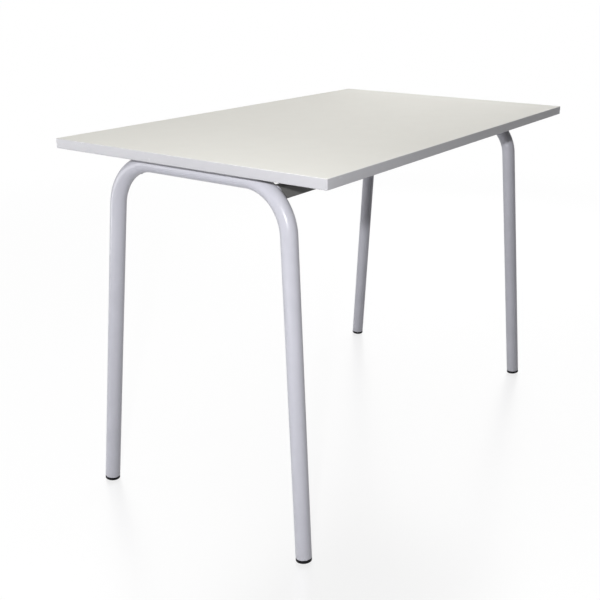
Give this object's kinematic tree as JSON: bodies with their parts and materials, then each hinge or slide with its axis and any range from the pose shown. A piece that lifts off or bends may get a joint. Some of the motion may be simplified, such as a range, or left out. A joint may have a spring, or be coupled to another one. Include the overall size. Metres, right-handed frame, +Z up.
{
  "type": "double school desk",
  "caption": "Double school desk: off-white laminated rectangular top on leaning bent-tube end frames, tied by rails under the top and standing on black foot plugs.",
  "frame": {"origin": "on the floor, under the middle of the top", "axes": "+X along the length of the top, +Y across it towards the back, +Z up"},
  "size_m": [1.0144, 0.6, 0.71],
  "materials": {
    "laminate": "off-white melamine laminate, satin, very fine texture",
    "edge_band": "off-white plastic edge band, satin, eased arrises",
    "chipboard": "raw chipboard, hidden inside the top",
    "frame_paint": "light grey powder coat, semi-gloss",
    "foot_plug": "black moulded plastic, satin",
    "screw": "bright zinc plate"
  },
  "bodies": {
    "root": {"top_laminate": "laminate", "top_core": "chipboard", "backing_laminate": "laminate", "edge_band_front": "edge_band", "edge_band_back": "edge_band", "edge_band_left": "edge_band", "edge_band_right": "edge_band", "frame_left": "frame_paint", "frame_right": "frame_paint", "rail_front": "frame_paint", "rail_back": "frame_paint", "foot_plug_front_left": "foot_plug", "foot_plug_back_left": "foot_plug", "foot_plug_front_right": "foot_plug", "foot_plug_back_right": "foot_plug", "top_screw_front_left": "screw", "top_screw_back_left": "screw", "top_screw_front_right": "screw", "top_screw_back_right": "screw"}
  },
  "joints": []
}
